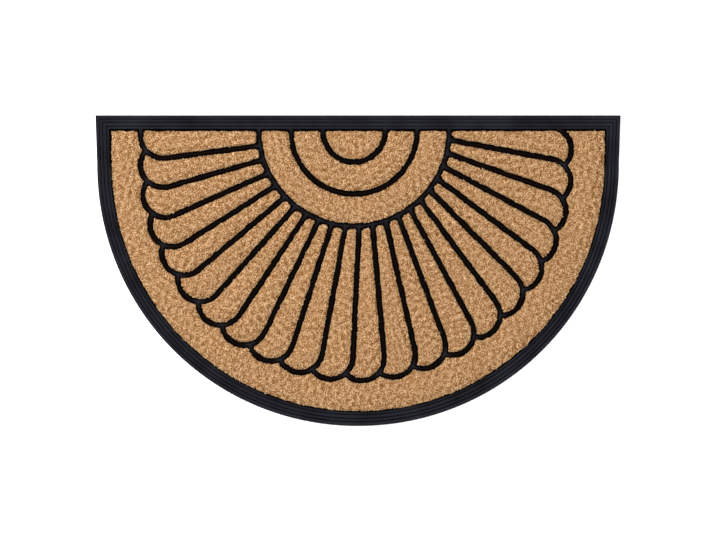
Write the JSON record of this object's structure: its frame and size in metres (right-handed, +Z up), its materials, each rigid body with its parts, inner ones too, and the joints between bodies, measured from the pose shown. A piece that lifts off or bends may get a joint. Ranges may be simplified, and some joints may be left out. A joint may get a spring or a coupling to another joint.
{
  "type": "coir doormat",
  "caption": "Half-round doormat: a moulded rubber tray with a ridged rim and a fan of raised ribs, its pockets filled with separate blocks of coir pile.",
  "frame": {"origin": "on the floor, under the middle of the mat's bounding box", "axes": "+X along the straight back edge, +Y towards the straight back edge, +Z up from the floor"},
  "size_m": [0.752, 0.445, 0.012],
  "materials": {
    "rubber": "matt moulded charcoal rubber",
    "coir": "short bristly natural coir pile"
  },
  "bodies": {
    "root": {"rubber_tray": "rubber", "coir_band": "coir", "coir_ring_outer": "coir", "coir_ring_middle": "coir", "coir_centre": "coir", "coir_petal_01": "coir", "coir_petal_02": "coir", "coir_petal_03": "coir", "coir_petal_04": "coir", "coir_petal_05": "coir", "coir_petal_06": "coir", "coir_petal_07": "coir", "coir_petal_08": "coir", "coir_petal_09": "coir", "coir_petal_10": "coir", "coir_petal_11": "coir", "coir_petal_12": "coir", "coir_petal_13": "coir", "coir_petal_14": "coir", "coir_petal_15": "coir", "coir_petal_16": "coir", "coir_petal_17": "coir", "coir_petal_18": "coir", "coir_petal_19": "coir", "coir_petal_20": "coir", "coir_petal_21": "coir", "coir_petal_22": "coir"}
  },
  "joints": []
}
